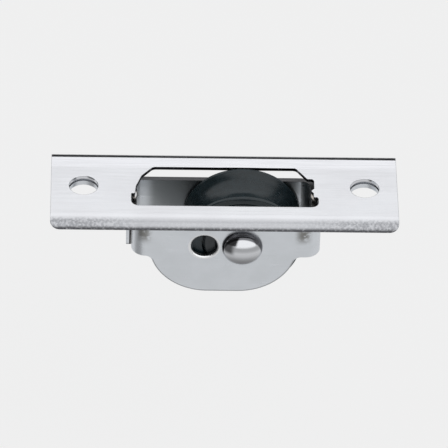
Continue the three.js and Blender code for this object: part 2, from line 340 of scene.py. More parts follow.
def startFinish(name, colour, metallic, roughness, **constants):
    material = bpy.data.materials.new(name)
    material.use_nodes = True
    tree = material.node_tree
    shader = tree.nodes["Principled BSDF"]
    shader.inputs["Base Color"].default_value = (*colour, 1.0)
    shader.inputs["Metallic"].default_value = metallic
    shader.inputs["Roughness"].default_value = roughness
    for label, value in constants.items():
        shader.inputs[label].default_value = value
    place = add(tree, "ShaderNodeTexCoord")
    return material, tree, shader, place.outputs["Object"]


def placed(tree, vector, centre):  # Object coordinates measured from a place in the frame
    shift = add(tree, "ShaderNodeMapping")
    shift.inputs["Location"].default_value = [-value * mm for value in centre]
    join(tree, vector, shift.inputs["Vector"])
    return shift.outputs["Vector"]


def useGroup(tree, group, vector, **values):
    node = add(tree, "ShaderNodeGroup", node_tree=group)
    join(tree, vector, node.inputs["Vector"])
    for label, value in values.items():
        node.inputs[label.replace("_", " ")].default_value = value
    return node


def raiseSurface(tree, shader, height, depth, strength=1.0):
    bump = add(tree, "ShaderNodeBump")
    bump.inputs["Distance"].default_value = depth * mm
    bump.inputs["Strength"].default_value = strength
    join(tree, height, bump.inputs["Height"])
    join(tree, bump.outputs["Normal"], shader.inputs["Normal"])


def tint(tree, factor, dark, light):
    ramp = add(tree, "ShaderNodeMix", data_type="RGBA")
    ramp.inputs["A"].default_value = (*dark, 1.0)
    ramp.inputs["B"].default_value = (*light, 1.0)
    join(tree, factor, ramp.inputs["Factor"])
    return ramp.outputs["Result"]


def overlay(tree, factor, under, colour):
    mix = add(tree, "ShaderNodeMix", data_type="RGBA")
    mix.inputs["B"].default_value = (*colour, 1.0)
    join(tree, factor, mix.inputs["Factor"])
    join(tree, under, mix.inputs["A"])
    return mix.outputs["Result"]


coverFinish = {
    "dark": (0.775, 0.775, 0.795), "light": (0.815, 0.82, 0.84), "far": (0.89, 0.89, 0.915),
    "edge": (0.13, 0.13, 0.14), "bendShade": (0.31, 0.315, 0.33), "wall": (0.06, 0.06, 0.065),
    "roughness": (0.09, 0.15), "bendRoughness": 0.16, "lineDepth": 0.0005, "peelDepth": 0.13,
    "bendShadeShare": 0.5, "mottledShare": 0.42,
}
coverPlaces = {  # where the finish changes, in millimetres
    "bend": (0.8, 2.7), "outer": (20, 48), "farSideHighlight": (8, 10.5), "edge": (0.5, 1.9),
    "slotY": (9.74, 9.95), "slotX": (30.4, 30.7), "wallShadeTop": (-0.4, -0.12),
}


def polishedCover():
    look, places = coverFinish, coverPlaces
    material, tree, shader, here = startFinish("polishedCover", look["light"], 1.0, 0.15)
    grain = useGroup(tree, rolledGrain, here, Line_Scale=2600.0, Stretch=0.02, Cloud_Scale=60.0)
    clouded = tint(tree, fade(tree, grain.outputs["Clouds"], 0.3, 0.7), look["dark"], look["light"])
    parts = add(tree, "ShaderNodeSeparateXYZ")
    join(tree, here, parts.inputs[0])
    along, across = unsigned(tree, parts.outputs["X"]), unsigned(tree, parts.outputs["Y"])
    height = parts.outputs["Z"]
    # painted highlight: the cover's far side is painted lighter
    sheet = overlay(tree, fade(tree, parts.outputs["Y"], *inMetres(places["farSideHighlight"])), clouded, look["far"])
    # painted shade, mottled, on the rolled edges; the bent edges are also slightly pebbled
    bent = fade(tree, across, *inMetres(places["bend"], coverHigh.y - coverHigh.z))
    outer = fade(tree, along, *inMetres(places["outer"]), 0.15, 1.0)
    peel = add(tree, "ShaderNodeTexNoise")
    peel.inputs["Scale"].default_value = 1250.0
    peel.inputs["Detail"].default_value = 3.0
    join(tree, here, peel.inputs["Vector"])
    mottled = times(tree, fade(tree, peel.outputs["Fac"], 0.38, 0.62), outer, look["mottledShare"])
    bendShade = times(tree, bent, maths(tree, "ADD", mottled, look["bendShadeShare"]))
    shaded = overlay(tree, bendShade, sheet, look["bendShade"])
    cut = fade(tree, height, *inMetres(places["edge"]), 0.95, 0.0)  # painted shade along the lower cut edge of the rolls
    speckledMask = times(tree, cut, fade(tree, peel.outputs["Fac"], 0.2, 0.5))
    edgeShaded = overlay(tree, speckledMask, shaded, look["edge"])
    wall = times(  # painted shade: the cut walls of the slot are painted near black
        tree,
        fade(tree, across, *inMetres(places["slotY"]), 1.0, 0.0),
        fade(tree, along, *inMetres(places["slotX"]), 1.0, 0.0),
        fade(tree, height, *inMetres(places["wallShadeTop"], coverHigh.z), 1.0, 0.0),
    )
    join(tree, overlay(tree, wall, edgeShaded, look["wall"]), shader.inputs["Base Color"])
    sheen = fade(tree, grain.outputs["Lines"], 0.25, 0.75, *look["roughness"])
    dulled = times(tree, bent, look["bendRoughness"])
    join(tree, maths(tree, "ADD", sheen, dulled), shader.inputs["Roughness"])
    pebbled = times(tree, peel.outputs["Fac"], bent, outer, look["peelDepth"])
    lined = times(tree, grain.outputs["Lines"], look["lineDepth"])
    raiseSurface(tree, shader, maths(tree, "ADD", pebbled, lined), 1.0)
    return material


plateFinish = {
    "dark": (0.81, 0.835, 0.86), "light": (0.85, 0.875, 0.905), "bendShade": (0.24, 0.232, 0.215),
    "insideShade": (0.36, 0.375, 0.38), "darkenedEdge": (0.2, 0.2, 0.2), "chamfer": (0.97, 0.97, 0.97),
    "gap": (0.015, 0.015, 0.015), "roughness": (0.27, 0.36), "lineDepth": 0.0018,
    "bendPatchShare": 0.92, "insideShadeShare": 0.9, "rimShare": 0.6,
}
platePlaces = {  # where the finish changes, in millimetres
    "bendInset": 0.8, "bendPatchShade": (0.4, 3.4), "bendPatchFace": (8.3, 9.0), "bendPatchHeight": (-13.5, -9, -5.5, -3),
    "insideShadeY": (9.0, 9.45), "insideShadeX": (22, 26), "chamfer": (5.15, 5.3), "chamferFace": (9.0, 9.06),
    "rim": (-0.5, -0.3), "rimHeight": (-20, -18.5), "top": (0.02, 0.3), "topShadeX": (29.9, 31.6),
    "gapShadowX": (29.85, 29.95, 30.4, 30.55), "gapShadowY": (3.5, 3.9, 4.5, 4.7),
}


def satinPlate():
    look, places = plateFinish, platePlaces
    material, tree, shader, here = startFinish("satinPlate", look["light"], 1.0, 0.4)
    grain = useGroup(tree, rolledGrain, here, Line_Scale=1900.0, Stretch=0.05, Cloud_Scale=150.0)
    even = tint(tree, fade(tree, grain.outputs["Clouds"], 0.3, 0.7), look["dark"], look["light"])
    parts = add(tree, "ShaderNodeSeparateXYZ")
    join(tree, here, parts.inputs[0])
    along, across = unsigned(tree, parts.outputs["X"]), unsigned(tree, parts.outputs["Y"])
    height = parts.outputs["Z"]
    insideShade = times(  # painted shade on the inside faces of the housing
        tree,
        fade(tree, across, *inMetres(places["insideShadeY"]), look["insideShadeShare"], 0.0),
        fade(tree, along, *inMetres(places["insideShadeX"]), 1.0, 0.0),
    )
    shadedInside = overlay(tree, insideShade, even, look["insideShade"])
    holeX = maths(tree, "SUBTRACT", along, abs(axle.x) * mm)
    holeZ = maths(tree, "SUBTRACT", height, axle.z * mm)
    bright = times(  # the cut chamfer round an axle hole is bright
        tree,
        fade(tree, flatLength(tree, holeX, holeZ), *inMetres(places["chamfer"]), 1.0, 0.0),
        fade(tree, across, *inMetres(places["chamferFace"])),
    )
    chamfered = overlay(tree, bright, shadedInside, look["chamfer"])
    lobeX = maths(tree, "MAXIMUM", maths(tree, "SUBTRACT", along, sideplate["lobeX"] * mm), 0.0)
    rim = times(  # the sheared outline of the lobe is a little dark
        tree,
        fade(tree, flatLength(tree, lobeX, holeZ), *inMetres(places["rim"], sideplate["lobeRadius"])),
        fade(tree, height, *inMetres(places["rimHeight"]), look["rimShare"], 0.0),
    )
    outlined = overlay(tree, rim, chamfered, look["darkenedEdge"])
    # painted shade in patches where the sheet is bent, just under the cover
    bendX = plateBend["outerX"] - plateBend["radius"] - places["bendInset"]
    away = unsigned(tree, maths(tree, "SUBTRACT", along, bendX * mm))
    patchy = add(tree, "ShaderNodeTexNoise")
    patchy.inputs["Scale"].default_value = 650.0
    patchy.inputs["Detail"].default_value = 4.0
    join(tree, here, patchy.inputs["Vector"])
    bendPatchShade = times(
        tree,
        fade(tree, away, *inMetres(places["bendPatchShade"]), 1.0, 0.0),
        fade(tree, across, *inMetres(places["bendPatchFace"])),
        between(tree, height, inMetres(places["bendPatchHeight"])),
        fade(tree, patchy.outputs["Fac"], 0.28, 0.54),
        look["bendPatchShare"],
    )
    bendPatchShaded = overlay(tree, bendPatchShade, outlined, look["bendShade"])
    # painted shade on the top edges, which sit under the cover
    fromTop = unsigned(tree, maths(tree, "SUBTRACT", height, sideplate["top"] * mm))
    darkenedEdge = times(
        tree,
        fade(tree, fromTop, *inMetres(places["top"]), 1.0, 0.0),
        fade(tree, along, *inMetres(places["topShadeX"]), 1.0, 0.0),
    )
    topped = overlay(tree, darkenedEdge, bendPatchShaded, look["darkenedEdge"])
    gap = times(  # painted shadow in the narrow gap where one flange tucks in behind the other
        tree, between(tree, along, inMetres(places["gapShadowX"])), between(tree, across, inMetres(places["gapShadowY"]))
    )
    join(tree, overlay(tree, gap, topped, look["gap"]), shader.inputs["Base Color"])
    join(tree, fade(tree, grain.outputs["Lines"], 0.25, 0.75, *look["roughness"]), shader.inputs["Roughness"])
    raiseSurface(tree, shader, times(tree, grain.outputs["Lines"], look["lineDepth"]), 1.0)
    return material


rivetFinish = {
    "dark": (0.69, 0.695, 0.71), "light": (0.74, 0.745, 0.76), "upperRimShade": (0.16, 0.16, 0.17),
    "roughness": (0.06, 0.13), "ringDepth": 0.0012, "rimShadeDrop": 0.9, "rimShadeReach": (5.9, 6.25),
}


def mirrorRivet():
    look = rivetFinish
    material, tree, shader, here = startFinish("mirrorRivet", look["light"], 1.0, 0.06)
    rings = useGroup(tree, turningRings, placed(tree, here, axle), Ring_Scale=700.0, Unevenness=0.5)
    speckle = rings.outputs["Speckle"]
    join(tree, fade(tree, speckle, 0.3, 0.75, *look["roughness"]), shader.inputs["Roughness"])
    parts = add(tree, "ShaderNodeSeparateXYZ")
    join(tree, placed(tree, here, (axle.x, axle.y, axle.z - look["rimShadeDrop"])), parts.inputs[0])
    reach = flatLength(tree, parts.outputs["X"], parts.outputs["Z"])
    upper = fade(tree, reach, *inMetres(look["rimShadeReach"]))  # painted shade on the head's upper rim, which sits under the cover's roll
    even = tint(tree, speckle, look["dark"], look["light"])
    join(tree, overlay(tree, upper, even, look["upperRimShade"]), shader.inputs["Base Color"])
    raiseSurface(tree, shader, rings.outputs["Rings"], look["ringDepth"])
    return material


def weldMetal():
    material, tree, shader, here = startFinish("weldMetal", (0.66, 0.66, 0.66), 1.0, 0.3)
    grain = useGroup(tree, rolledGrain, here, Line_Scale=1200.0, Stretch=0.8, Cloud_Scale=500.0)
    heat = fade(tree, grain.outputs["Clouds"], 0.35, 0.65)
    join(tree, tint(tree, heat, (0.5, 0.46, 0.42), (0.74, 0.75, 0.77)), shader.inputs["Base Color"])
    join(tree, fade(tree, grain.outputs["Lines"], 0.3, 0.7, 0.2, 0.42), shader.inputs["Roughness"])
    raiseSurface(tree, shader, grain.outputs["Lines"], 0.02)
    return material


def blackAcetal(name, colour, roughness, ringDepth):
    material, tree, shader, here = startFinish(name, colour, 0.0, sum(roughness) / 2, **{"IOR": 1.5})
    rings = useGroup(tree, turningRings, placed(tree, here, axle), Ring_Scale=1100.0, Unevenness=0.3)
    speckledMask = fade(tree, rings.outputs["Speckle"], 0.3, 0.7)
    join(tree, tint(tree, speckledMask, colour, [1.5 * part for part in colour]), shader.inputs["Base Color"])
    join(tree, fade(tree, rings.outputs["Rings"], 0.4, 0.9, *roughness), shader.inputs["Roughness"])
    raiseSurface(tree, shader, rings.outputs["Rings"], ringDepth)
    return material


def whiteAcetal():
    material, tree, shader, here = startFinish("whiteAcetal", (0.83, 0.82, 0.77), 0.0, 0.28)
    shader.inputs["Subsurface Weight"].default_value = 0.15
    shader.inputs["Subsurface Radius"].default_value = (0.6 * mm, 0.5 * mm, 0.4 * mm)
    grain = useGroup(tree, rolledGrain, here, Line_Scale=900.0, Stretch=1.0, Cloud_Scale=400.0)
    milky = tint(tree, grain.outputs["Clouds"], (0.79, 0.77, 0.71), (0.86, 0.85, 0.81))
    join(tree, milky, shader.inputs["Base Color"])
    join(tree, fade(tree, grain.outputs["Lines"], 0.3, 0.7, 0.22, 0.34), shader.inputs["Roughness"])
    return material


def groundSteel():
    material, tree, shader, here = startFinish("groundSteel", (0.6, 0.61, 0.63), 1.0, 0.25)
    rings = useGroup(tree, turningRings, placed(tree, here, axle), Ring_Scale=2200.0, Unevenness=0.2)
    join(tree, fade(tree, rings.outputs["Rings"], 0.4, 0.8, 0.16, 0.34), shader.inputs["Roughness"])
    raiseSurface(tree, shader, rings.outputs["Rings"], 0.004)
    return material


coverPlate = {
    "sheet": 1.4, "cornerRadius": 3.2, "rollSteps": 22,
    "holeX": 45.4, "holeRadius": 4.68,
    "slotHalfWidth": 9.7, "slotFrom": -23.0, "slotTo": 23.3, "edgeRounding": 0.26,
    "rightEnd": [  # from the near side: ear, weld tongue, pocket, cut corner
        (30.3, -9.7, 2.4), (30.3, -4.6, 0.9), (28.8, -4.6, 0.3), (28.8, -2.6, 0.6),
        (28.05, -1.5, 0.3), (29.05, -0.4, 0.5), (29.05, 4.35, 1.1), (26.9, 4.35, 0.3),
    ],
    "leftEnd": [  # from the far side: cut corner, straight run, ear
        (-26.7, 5.2, 2.0), (-28.5, 0.0, 3.0), (-28.85, -3.5, 0.3), (-30.0, -3.5, 0.5), (-30.0, -9.7, 2.6),
    ],
}


def coverStations():
    size = coverPlate
    roll, half, length = coverHigh.z, coverHigh.y, coverHigh.x
    corner = size["cornerRadius"]
    cutFrom = roll * quarter - corner
    stations = []
    for side in (1, -1):
        for step in range(size["rollSteps"] + 1):
            share = 1 - step / size["rollSteps"]
            angle = (share if side > 0 else 1 - share) * quarter
            past = max(0.0, roll * angle - cutFrom)
            cut = corner - math.sqrt(max(0.0, corner ** 2 - past ** 2))
            outX, outY = side * math.sin(angle), math.cos(angle)
            point = (side * (half - roll) + outX * roll, outY * roll)
            stations.append((point, (-outX, -outY), cut - length, length - cut))
    return stations


def slotOutline():
    size = coverPlate
    farSide = [(size["slotTo"], size["slotHalfWidth"], 2.0), (size["slotFrom"], size["slotHalfWidth"], 2.0)]
    return roundedCorners(size["rightEnd"] + farSide + size["leftEnd"], steps=8)


def circle(x, y, radius, steps=72):
    return arc(x, y, radius, 0, 2 * math.pi * (steps - 1) / steps, steps - 1)


def makeCover():
    size = coverPlate
    piece = foldedSheet("cover_shell", coverStations(), size["sheet"])
    for vertex in piece.data.vertices:  # the fold was drawn across, so it is turned to run along X
        vertex.co = (vertex.co.z, vertex.co.x, vertex.co.y)
    tools = [prism("slotTool", slotOutline(), -2, coverHigh.z + 2)]
    for side in (-1, 1):
        hole = circle(side * size["holeX"], 0, size["holeRadius"])
        tools.append(prism("holeTool", hole, -2, coverHigh.z + 2))
    carve(piece, tools)
    joinFlatFaces(piece)
    roundEdges(piece, size["edgeRounding"])
    smooth(piece)
    settle(piece, polishedCover(), "cover_steel", "housing", "cover_plate")


plateBend = {"outerX": 31.5, "radius": 4.8, "steps": 16}
sideplate = {
    "sheet": 1.6, "gap": 0.1, "top": -0.3,
    "shoulderZ": -17.9, "fillet": 2.5, "lobeRadius": 18.9, "lobeX": 5.0,
    "outerReach": 9.2, "innerReach": 9.6, "flangeCorner": 1.2,
    "footLength": 22.5, "footRoot": 4.4, "footHalf": 8.5, "foldRadius": 1.2,
    "axleHole": 4.35, "holeChamfer": 0.75, "edgeRounding": 0.36,
}


def lowerEdge(start, end):
    size = sideplate
    filletZ = size["shoulderZ"] - size["fillet"]
    reach = size["lobeRadius"] + size["fillet"]
    filletX = size["lobeX"] + math.sqrt(reach ** 2 - (axle.z - filletZ) ** 2)
    slope = math.atan2(axle.z - filletZ, filletX - size["lobeX"])
    corner = size["flangeCorner"]
    cornerZ = size["shoulderZ"] + corner
    edge = arc(start + corner, cornerZ, corner, math.pi, 3 * quarter, 6)
    edge += arc(-filletX, filletZ, size["fillet"], quarter, slope, 8)
    edge += arc(-size["lobeX"], axle.z, size["lobeRadius"], math.pi + slope, 3 * quarter, 34)
    edge += arc(size["lobeX"], axle.z, size["lobeRadius"], 3 * quarter, 4 * quarter - slope, 34)
    edge += arc(filletX, filletZ, size["fillet"], math.pi - slope, quarter, 8)
    edge += arc(end - corner, cornerZ, corner, 3 * quarter, 4 * quarter, 6)
    return edge


def foldAt(along):  # where a place along the flat blank lies after folding
    size = sideplate
    radius = plateBend["radius"]
    side = 1 if along > 0 else -1
    outerX = plateBend["outerX"] - (0 if side > 0 else size["sheet"] + size["gap"])
    faceY = plateLow.y
    past = abs(along) - (outerX - radius)
    if past <= 0:
        return (along, faceY), (0.0, 1.0)
    angle = min(past / radius, quarter)
    straight = max(0.0, past - radius * quarter)
    x = side * (outerX - radius + radius * math.sin(angle))
    y = faceY + radius * (1 - math.cos(angle)) + straight
    return (x, y), (-side * math.sin(angle), math.cos(angle))


def sideplateStations():
    size = sideplate
    radius = plateBend["radius"]
    bend = radius * quarter
    innerX = plateBend["outerX"] - size["sheet"] - size["gap"]
    start = innerX - radius + bend + size["innerReach"]
    end = plateBend["outerX"] - radius + bend + size["outerReach"]
    places = lowerEdge(-start, end)
    for side, flangeX in ((-1, innerX), (1, plateBend["outerX"])):
        for step in range(plateBend["steps"] + 1):
            places.append((side * (flangeX - radius + bend * step / plateBend["steps"]), size["shoulderZ"]))
    places.sort()
    stations = []
    lastAlong = None
    for along, low in places:
        if lastAlong is None or along - lastAlong > 0.02:
            stations.append((*foldAt(along), low, size["top"]))
            lastAlong = along
    return stations


def footParts():
    size = sideplate
    start = plateBend["outerX"] + size["foldRadius"]
    end = plateBend["outerX"] + size["footLength"]
    root, half = size["footRoot"], size["footHalf"]
    outline = roundedCorners([
        (start, -root, 0), (start + 1.5, -root, 1), (start + 5.5, -half, 2), (end, -half, 3),
        (end, half, 3), (start + 5.5, half, 2), (start + 1.5, root, 1), (start, root, 0),
    ])
    flat = prism("foot", outline, 0, size["sheet"])
    inner, outer = size["foldRadius"], size["foldRadius"] + size["sheet"]
    section = [(plateBend["outerX"], -inner - 1)] + arc(start, -inner, inner, math.pi, quarter, 10)
    section += [(start + 1, 0), (start + 1, size["sheet"])]
    section += arc(start, -inner, outer, quarter, math.pi, 14)
    section += [(plateBend["outerX"] - size["sheet"], -inner - 1)]
    fold = prism("footFold", section, -root, root)
    for vertex in fold.data.vertices:
        vertex.co = (vertex.co.x, vertex.co.z, vertex.co.y)
    fold.data.flip_normals()
    return flat, fold


def acrossTool(x, z, radius):
    tool = prism("axleTool", circle(x, z, radius), -30, 30)
    for vertex in tool.data.vertices:
        vertex.co = (vertex.co.x, vertex.co.z, vertex.co.y)
    tool.data.flip_normals()
    return tool


def makeSideplates():
    size = sideplate
    piece = foldedSheet("front_plate_pressing", sideplateStations(), size["sheet"])
    outerX, root = plateBend["outerX"], size["footRoot"]
    notch = [(outerX - 3, -root - 0.3), (outerX + 1, -root - 0.3), (outerX + 1, 10), (outerX - 3, 10)]
    carve(piece, [prism("notchTool", notch, -size["foldRadius"], 1)])
    carve(piece, list(footParts()), "UNION")
    tools = [acrossTool(side * axle.x, axle.z, size["axleHole"]) for side in (-1, 1)]
    tools.append(prism("screwTool", circle(coverPlate["holeX"], 0, coverPlate["holeRadius"]), -2, 4))
    face, hole, chamfer = plateLow.y, size["axleHole"], size["holeChamfer"]
    cone = [
        (hole - 0.5, face - 1), (hole + chamfer, face - 1), (hole + chamfer, face),
        (hole, face + 0.5), (hole - 0.5, face + 0.5),
    ]
    tools.append(turnedAlongY("chamferTool", cone, Vector((-axle.x, 0, axle.z)), 72))
    carve(piece, tools)
    joinFlatFaces(piece)
    roundEdges(piece, size["edgeRounding"])
    smooth(piece)
    rear = piece.copy()
    rear.data = piece.data.copy()
    rear.name = "rear_plate_pressing"
    bpy.context.scene.collection.objects.link(rear)
    for vertex in rear.data.vertices:  # the same pressing turned end for end
        vertex.co = (-vertex.co.x, -vertex.co.y, vertex.co.z)
    smooth(rear)
    satin = satinPlate()
    settle(piece, satin, "housing_steel", "housing", "front_sideplate")
    settle(rear, satin, "housing_steel", "housing", "rear_sideplate")


weldBead = {"ripples": 7, "rings": 28, "sides": 20}


def makeWeld(name, node):
    size = weldBead
    low, high = boxOf(node)
    centre = (low + high) / 2
    rings, sides = size["rings"], size["sides"]
    points, faces = [], []
    for ring in range(1, rings):
        share = ring / rings
        swell = math.sin(math.pi * share) ** 0.6
        swell *= 1 - 0.1 * (0.5 + 0.5 * math.cos(2 * math.pi * size["ripples"] * share))
        for side in range(sides):
            angle = 2 * math.pi * side / sides
            points.append((
                centre.x + (high.x - low.x) / 2 * swell * math.cos(angle),
                centre.y + (high.y - low.y) * (share - 0.5) * 0.98,
                centre.z + (high.z - low.z) / 2 * swell * math.sin(angle),
            ))
    for ring in range(rings - 2):
        for side in range(sides):
            other = (side + 1) % sides
            this, after = ring * sides, (ring + 1) * sides
            faces.append([this + side, this + other, after + other, after + side])
    faces.append(list(range(sides)))
    faces.append([(rings - 2) * sides + side for side in range(sides)])
    piece = newPiece(name, points, faces)
    smooth(piece)
    return piece


def makeWelds():
    metal = weldMetal()
    for side in ("left", "right"):
        node = side + "_end_weld"
        settle(makeWeld(side + "_weld_bead", node), metal, "weld_metal", "housing", node)


sheaveWheel = {
    "rimLand": 1.1, "grooveDepth": 3.9, "rimRounding": 0.45, "recessRadius": 13.1, "seat": 5.45,
    "trackRadius": 10.46, "landRadius": 9.46, "landHalf": 0.9, "shoulder": 2.0,
    "webRadius": 16.6, "webDepth": 0.35, "steps": 192,
}


def makeSheave():
    size = sheaveWheel
    half, radius = sheaveHigh.y, sheaveHigh.x - axle.x
    mouth = half - size["rimLand"]
    depth = size["grooveDepth"]
    grooveRadius = (mouth ** 2 + depth ** 2) / (2 * depth)
    opening = math.asin(mouth / grooveRadius)
    groove = arc(radius - depth + grooveRadius, 0, grooveRadius, math.pi + opening, math.pi - opening, 26)
    side = [
        (size["recessRadius"], size["seat"], 0.15),
        (size["recessRadius"], half - size["webDepth"], 0.15),
        (size["webRadius"] - 0.6, half - size["webDepth"], 0.25),
        (size["webRadius"], half, 0.25),
        (radius, half, size["rimRounding"]),
        (radius, mouth, 0.3),
        (radius - 0.6, mouth - 0.45, 0),
    ]
    upper = roundedCorners(side, steps=5, closed=False)[:-1]
    lower = [(x, -y) for x, y in upper]
    bore = [
        (size["trackRadius"], size["seat"]), (size["trackRadius"], size["shoulder"]),
        (size["landRadius"], size["landHalf"]), (size["landRadius"], -size["landHalf"]),
        (size["trackRadius"], -size["shoulder"]), (size["trackRadius"], -size["seat"]),
    ]
    section = lower + groove[1:-1] + upper[::-1] + bore
    piece = turnedAlongY("grooved_sheave", section, axle, size["steps"])
    smooth(piece, 30)
    black = blackAcetal("blackAcetal", (0.0058, 0.0108, 0.0132), (0.22, 0.32), 0.005)
    settle(piece, black, "sheave_plastic", "sheave", "sheave")


retainerRing = {"chamfer": 0.6, "rounding": 0.12, "innerStep": 8.6, "stepDepth": 0.3, "steps": 160}


def makeRetainers():
    size = retainerRing
    inner, outer = 6.95, retainerHigh.x - axle.x
    seat, face = retainerLow.y, retainerHigh.y
    section = roundedCorners([
        (inner, seat, 0.1), (outer, seat, 0.1), (outer, face - size["chamfer"], size["rounding"]),
        (outer - size["chamfer"], face, size["rounding"]), (size["innerStep"] + 0.3, face, 0.1),
        (size["innerStep"], face - size["stepDepth"], 0.1), (inner, face - size["stepDepth"], 0.1),
    ], steps=3)
    black = blackAcetal("mouldedBlack", (0.013, 0.0155, 0.017), (0.24, 0.34), 0.004)
    for name, sign in (("front", -1), ("rear", 1)):
        turned = [(x, sign * y) for x, y in section]
        piece = turnedAlongY(name + "_retainer_ring", turned, axle, size["steps"])
        smooth(piece, 30)
        settle(piece, black, "retainer_plastic", "sheave", name + "_ball_retainer")


def makeRace():
    end = raceHigh.y
    track = 6.34
    section = roundedCorners([
        (4.35, -end, 0.2), (track, -end, 0.25), (track, -2.0, 0.5), (track + 1, -0.9, 0.2),
        (track + 1, 0.9, 0.2), (track, 2.0, 0.5), (track, end, 0.25), (4.35, end, 0.2),
    ], steps=4)
    piece = turnedAlongY("bearing_race", section, axle, 96)
    smooth(piece, 30)
    settle(piece, groundSteel(), "race_steel", "housing", "inner_race")


rivet = {"shank": 4.3, "rearRadius": 6.1, "plateFace": 9.55, "steps": 128}


def makeRivet():
    size = rivet
    face = size["plateFace"]
    head = rivetHigh.x - axle.x
    section = []
    for step in range(33):  # an upset head: nearly flat in the middle, turning in quickly at the rim
        angle = quarter * step / 32
        section.append((head * math.sin(angle), -face - (-face - rivetLow.y) * math.cos(angle)))
    section += [(size["shank"], -face), (size["shank"], face)]
    for step in range(25):
        angle = quarter * (1 - step / 24)
        section.append((size["rearRadius"] * math.sin(angle), face + (rivetHigh.y - face) * math.cos(angle)))
    section[0] = (0.0, rivetLow.y)
    section[-1] = (0.0, rivetHigh.y)
    piece = turnedAlongY("domed_axle_rivet", section, axle, size["steps"], closed=False)
    smooth(piece, 50)
    settle(piece, mirrorRivet(), "rivet_steel", "housing", "axle_rivet")


ballRow = {"count": 12, "ballRadius": 1.99, "pitchRadius": 8.4, "rings": 16, "segments": 24}


def buildBallRowTree(material):
    tree = bpy.data.node_groups.new("ballRow", "GeometryNodeTree")
    for label, kind in (
        ("Geometry", "NodeSocketGeometry"), ("Balls", "NodeSocketInt"),
        ("Ball Radius", "NodeSocketFloat"), ("Pitch Radius", "NodeSocketFloat"),
        ("First Angle", "NodeSocketFloat"), ("Centre", "NodeSocketVector"),
    ):
        tree.interface.new_socket(label, in_out="INPUT", socket_type=kind)
    tree.interface.new_socket("Geometry", in_out="OUTPUT", socket_type="NodeSocketGeometry")
    given, gives = tree.nodes.new("NodeGroupInput"), tree.nodes.new("NodeGroupOutput")
    ring = tree.nodes.new("GeometryNodeMeshCircle")
    join(tree, given.outputs["Balls"], ring.inputs["Vertices"])
    join(tree, given.outputs["Pitch Radius"], ring.inputs["Radius"])
    stand = tree.nodes.new("GeometryNodeTransform")  # the ring is made flat, the axle runs along Y
    stand.inputs["Rotation"].default_value = (quarter, 0, 0)
    turn = tree.nodes.new("GeometryNodeTransform")
    spin = tree.nodes.new("ShaderNodeCombineXYZ")
    ball = tree.nodes.new("GeometryNodeMeshUVSphere")
    ball.inputs["Segments"].default_value = ballRow["segments"]
    ball.inputs["Rings"].default_value = ballRow["rings"]
    shaded = tree.nodes.new("GeometryNodeSetShadeSmooth")
    scatter = tree.nodes.new("GeometryNodeInstanceOnPoints")
    real = tree.nodes.new("GeometryNodeRealizeInstances")
    paint = tree.nodes.new("GeometryNodeSetMaterial")
    paint.inputs["Material"].default_value = material
    join(tree, ring.outputs["Mesh"], stand.inputs["Geometry"])
    join(tree, given.outputs["First Angle"], spin.inputs["Y"])
    join(tree, stand.outputs["Geometry"], turn.inputs["Geometry"])
    join(tree, spin.outputs[0], turn.inputs["Rotation"])
    join(tree, given.outputs["Centre"], turn.inputs["Translation"])
    join(tree, turn.outputs["Geometry"], scatter.inputs["Points"])
    join(tree, given.outputs["Ball Radius"], ball.inputs["Radius"])
    join(tree, ball.outputs["Mesh"], shaded.inputs["Geometry"])
    join(tree, shaded.outputs["Geometry"], scatter.inputs["Instance"])
    join(tree, scatter.outputs["Instances"], real.inputs["Geometry"])
    join(tree, real.outputs["Geometry"], paint.inputs["Geometry"])
    join(tree, paint.outputs["Geometry"], gives.inputs["Geometry"])
    return tree


def makeBallRows():
    size = ballRow
    white = whiteAcetal()
    tree = buildBallRowTree(white)
    sockets = {item.name: item.identifier for item in tree.interface.items_tree if item.in_out == "INPUT"}
    for name, firstAngle in (("front", 0.0), ("rear", math.pi / size["count"])):
        nodes = [f"{name}_ball_{number:02d}" for number in range(1, size["count"] + 1)]
        low, high = boxOf(nodes[0])
        row = newPiece(name + "_ball_set", [(0, 0, 0)], [])
        maker = row.modifiers.new("balls", "NODES")
        maker.node_group = tree
        maker[sockets["Balls"]] = size["count"]
        maker[sockets["Ball Radius"]] = size["ballRadius"] * mm
        maker[sockets["Pitch Radius"]] = size["pitchRadius"] * mm
        maker[sockets["First Angle"]] = -firstAngle
        maker[sockets["Centre"]] = (axle.x * mm, (low.y + high.y) / 2 * mm, axle.z * mm)
        applyModifiers(row)
        settle(row, white, "ball_plastic", name + "_ball_row", *nodes)


studio = {
    "elevation": 40.6, "azimuth": -1.8, "roll": 1.8, "distance": 1.657, "lens": 411.6, "aimDrop": 9.2,
    "floorDrop": 90.0, "paper": 0.855,
}


def makeCamera():
    view = studio
    elevation, azimuth = math.radians(view["elevation"]), math.radians(view["azimuth"])
    back = Vector((
        math.sin(azimuth) * math.cos(elevation), -math.cos(azimuth) * math.cos(elevation), math.sin(elevation)
    ))
    camera = bpy.data.objects.new("camera", bpy.data.cameras.new("camera"))
    bpy.context.scene.collection.objects.link(camera)
    camera.data.lens = view["lens"]
    camera.data.sensor_width = 36
    camera.data.clip_end = 50
    camera.rotation_mode = "QUATERNION"
    turned = (-back).to_track_quat("-Z", "Y")
    rolled = Quaternion(back, math.radians(view["roll"])) @ turned
    camera.rotation_quaternion = rolled
    up = rolled @ Vector((0, 1, 0))
    camera.location = back * view["distance"] - up * view["aimDrop"] * mm
    bpy.context.scene.camera = camera


